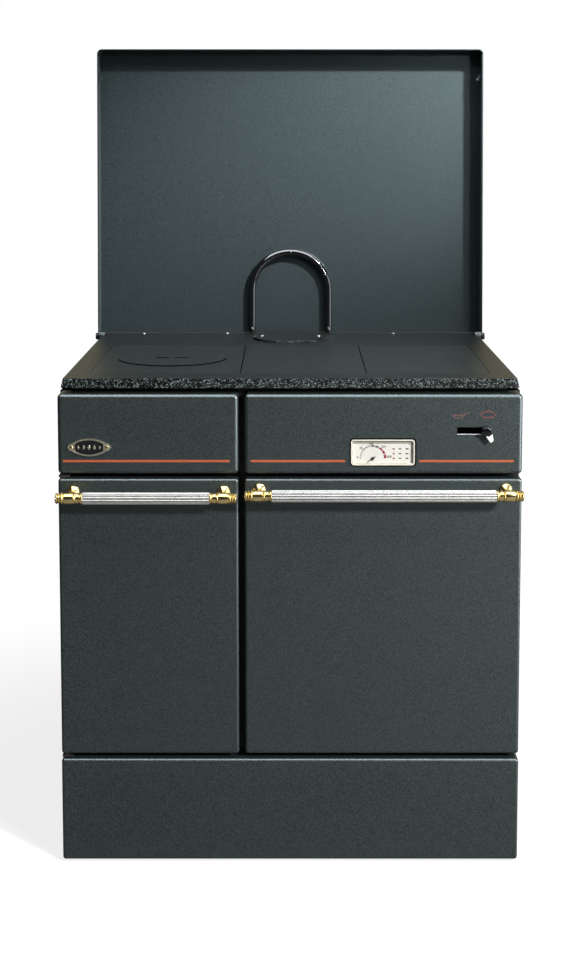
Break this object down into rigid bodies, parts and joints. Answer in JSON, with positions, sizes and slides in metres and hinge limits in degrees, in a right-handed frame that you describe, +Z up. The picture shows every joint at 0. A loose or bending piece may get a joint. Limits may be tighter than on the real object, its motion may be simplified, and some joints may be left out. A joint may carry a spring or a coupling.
{
  "type": "wood cook stove",
  "caption": "Enamelled wood cook stove with firebox and oven doors, reeded rails in turned end fittings, lift-off hob plates, fold-down lid and a wide drawer below.",
  "frame": {"origin": "centre of the bounding box in plan, on the floor", "axes": "+X to the right seen from the front, +Y to the back, +Z up; the doors face -Y"},
  "size_m": [0.81, 0.7528, 1.4512],
  "materials": {
    "enamel": "glossy slate enamel with a fine grain",
    "lid_enamel": "glossy slate enamel",
    "hob_enamel": "coarse speckled black enamel",
    "cast_plate": "fine-textured matt black",
    "tube_black": "glossy black",
    "frame_black": "matt black stove paint",
    "cast_inner": "raw cast iron",
    "steel": "zinc-plated steel",
    "oven_steel": "speckled oven enamel",
    "bright_steel": "bright wire",
    "nickel": "polished nickel",
    "brass": "polished brass",
    "badge_metal": "cast badge with a black field",
    "bezel_plastic": "cream",
    "dial_print": "printed dial",
    "needle_black": "black",
    "knob_black": "black",
    "tip_light": "light grey",
    "glass": "clear",
    "firebrick": "vermiculite brick",
    "rope": "glass-fibre rope"
  },
  "bodies": {
    "stove": {"base_frame": "frame_black", "levelling_feet": "steel", "left_side_panel": "enamel", "right_side_panel": "enamel", "back_panel": "frame_black", "front_frame": "frame_black", "floor_plate": "frame_black", "drawer_runners": "steel", "left_fascia": "enamel", "right_fascia": "enamel", "badge_plate": "badge_metal", "badge_screws": "brass", "thermometer_bezel": "bezel_plastic", "thermometer_dial": "dial_print", "thermometer_glass": "glass", "thermometer_probe": "steel", "hob_frame": "hob_enamel", "hob_screws": "steel", "flue_cover": "hob_enamel", "flue_cover_screws": "steel", "firebox_shell": "cast_inner", "firebricks": "firebrick", "fire_grate": "cast_inner", "ash_pan": "steel", "oven_box": "oven_steel", "rack_holders": "bright_steel", "oven_rack": "bright_steel", "flue_box": "cast_inner", "flue_collar": "cast_inner", "lid_hinge_bolts": "steel", "fire_door_pivots": "frame_black", "oven_hinge_arms": "steel", "door_catches": "steel"},
    "lid": {"lid_pan": "lid_enamel", "lid_arch_tube": "tube_black", "lid_arch_plate": "lid_enamel", "lid_arch_nuts": "steel"},
    "fire_door": {"fire_door_skin": "enamel", "fire_door_liner": "frame_black", "fire_door_seal": "rope", "fire_rail_tube": "nickel", "fire_rail_fittings": "brass", "fire_rail_bolts": "steel"},
    "oven_door": {"oven_door_skin": "enamel", "oven_door_liner": "frame_black", "oven_door_seal": "rope", "oven_rail_tube": "nickel", "oven_rail_fittings": "brass", "oven_rail_bolts": "steel"},
    "drawer": {"drawer_front": "enamel", "drawer_tray": "steel"},
    "left_plate": {"left_hob_plate": "cast_plate"},
    "burner": {"burner_disc": "cast_plate"},
    "centre_plate": {"centre_hob_plate": "cast_plate"},
    "right_plate": {"right_hob_plate": "cast_plate"},
    "damper": {"damper_lever": "knob_black", "damper_tip": "tip_light", "damper_plate": "steel"},
    "needle": {"thermometer_needle": "needle_black"}
  },
  "joints": [
    {"name": "lid_hinge", "type": "hinge", "parent": "stove", "child": "lid", "pos_m": [0, 0.2854, 0.8565], "axis": [-1, 0, 0], "range_deg": [-93.8, 0]},
    {"name": "fire_door_hinge", "type": "hinge", "parent": "stove", "child": "fire_door", "pos_m": [-0.392, -0.3076, 0.441], "axis": [0, 0, -1], "range_deg": [0, 105]},
    {"name": "oven_door_hinge", "type": "hinge", "parent": "stove", "child": "oven_door", "pos_m": [0.16075, -0.3076, 0.2042], "axis": [-1, 0, 0], "range_deg": [-90, 0]},
    {"name": "drawer_slide", "type": "slide", "parent": "stove", "child": "drawer", "axis": [0, -1, 0], "range_m": [0, 0.4]},
    {"name": "left_plate_lift", "type": "slide", "parent": "stove", "child": "left_plate", "axis": [0, 0, 1], "range_m": [0, 0.06]},
    {"name": "burner_lift", "type": "slide", "parent": "left_plate", "child": "burner", "axis": [0, 0, 1], "range_m": [0, 0.05]},
    {"name": "centre_plate_lift", "type": "slide", "parent": "stove", "child": "centre_plate", "axis": [0, 0, 1], "range_m": [0, 0.06]},
    {"name": "right_plate_lift", "type": "slide", "parent": "stove", "child": "right_plate", "axis": [0, 0, 1], "range_m": [0, 0.06]},
    {"name": "damper_slide", "type": "slide", "parent": "stove", "child": "damper", "axis": [-1, 0, 0], "range_m": [0, 0.045]},
    {"name": "needle_turn", "type": "hinge", "parent": "stove", "child": "needle", "pos_m": [0.1425, -0.3096, 0.721], "axis": [0, 1, 0], "range_deg": [0, 205], "stiffness_Nm_per_rad": 0.0005, "springref_deg": -17.19}
  ]
}
